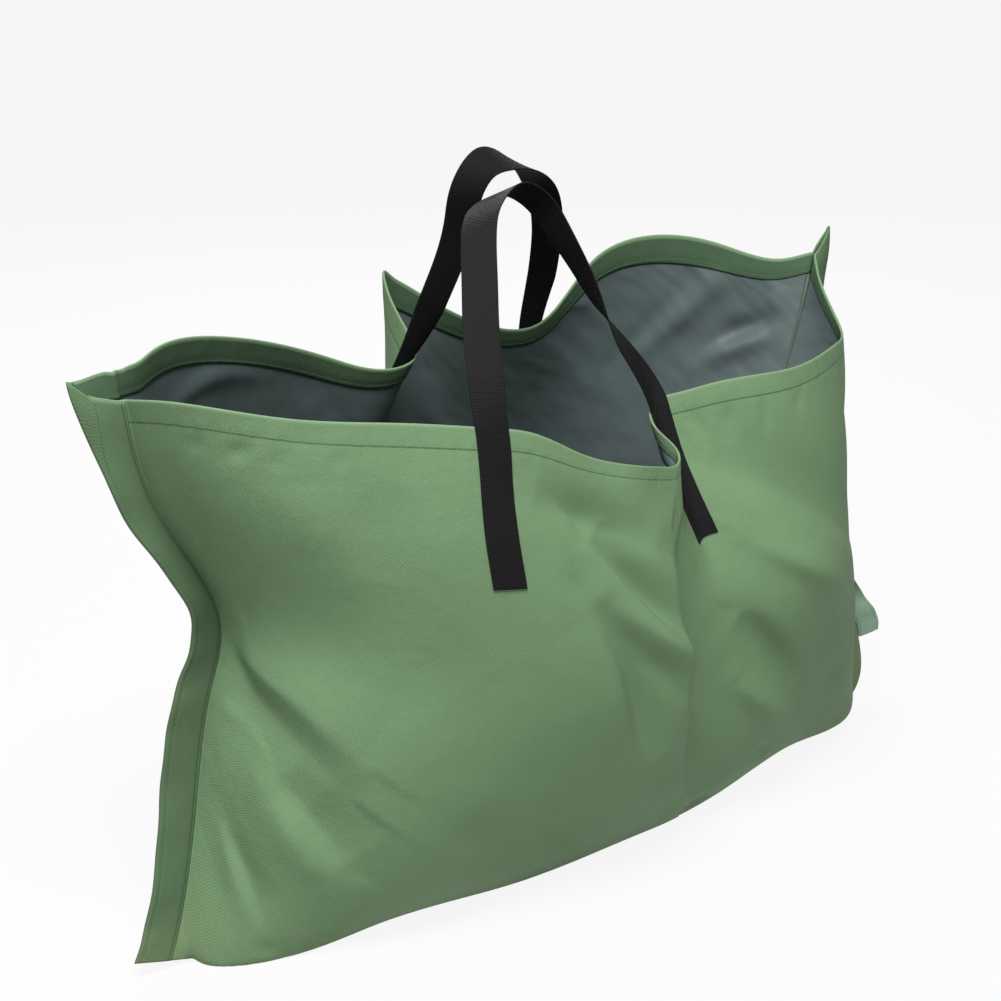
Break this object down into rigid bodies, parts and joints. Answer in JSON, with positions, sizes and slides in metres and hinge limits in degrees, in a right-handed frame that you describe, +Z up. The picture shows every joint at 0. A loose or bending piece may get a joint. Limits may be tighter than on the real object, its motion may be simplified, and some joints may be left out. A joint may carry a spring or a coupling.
{
  "type": "leaf bag",
  "caption": "Wide soft-sided leaf bag of coated cloth with a full-width open mouth, bound side seams and webbing carrying handles whose loops swing outward.",
  "frame": {"origin": "middle of the base of the whole part's box, on the surface the bag stands on", "axes": "+X along the mouth from the left side seam to the right, +Y from the front panel to the back panel, +Z up"},
  "size_m": [1.0758, 0.4616, 0.7232],
  "materials": {
    "cloth": "matte coated twill",
    "binding": "matte coated twill, folded",
    "coating": "semi-gloss waterproof coating",
    "webbing": "ribbed polypropylene webbing"
  },
  "bodies": {
    "pouch": {"front_panel": "cloth", "back_panel": "cloth", "left_side_binding": "binding", "right_side_binding": "binding", "front_rim_hem": "cloth", "back_rim_hem": "cloth", "bottom_seam_tape": "coating", "front_handle_left_leg": "webbing", "front_handle_right_leg": "webbing", "back_handle_left_leg": "webbing", "back_handle_right_leg": "webbing"},
    "front_loop": {"front_handle_loop": "webbing"},
    "back_loop": {"back_handle_loop": "webbing"}
  },
  "joints": [
    {"name": "front_loop_swing", "type": "hinge", "parent": "pouch", "child": "front_loop", "pos_m": [-0.21728, -0.17082, 0.54891], "axis": [0.9239, 0.3379, -0.1795], "range_deg": [0, 140]},
    {"name": "back_loop_swing", "type": "hinge", "parent": "pouch", "child": "back_loop", "pos_m": [0.10238, 0.16375, 0.51366], "axis": [-0.9543, -0.2956, 0.0434], "range_deg": [0, 125]}
  ]
}
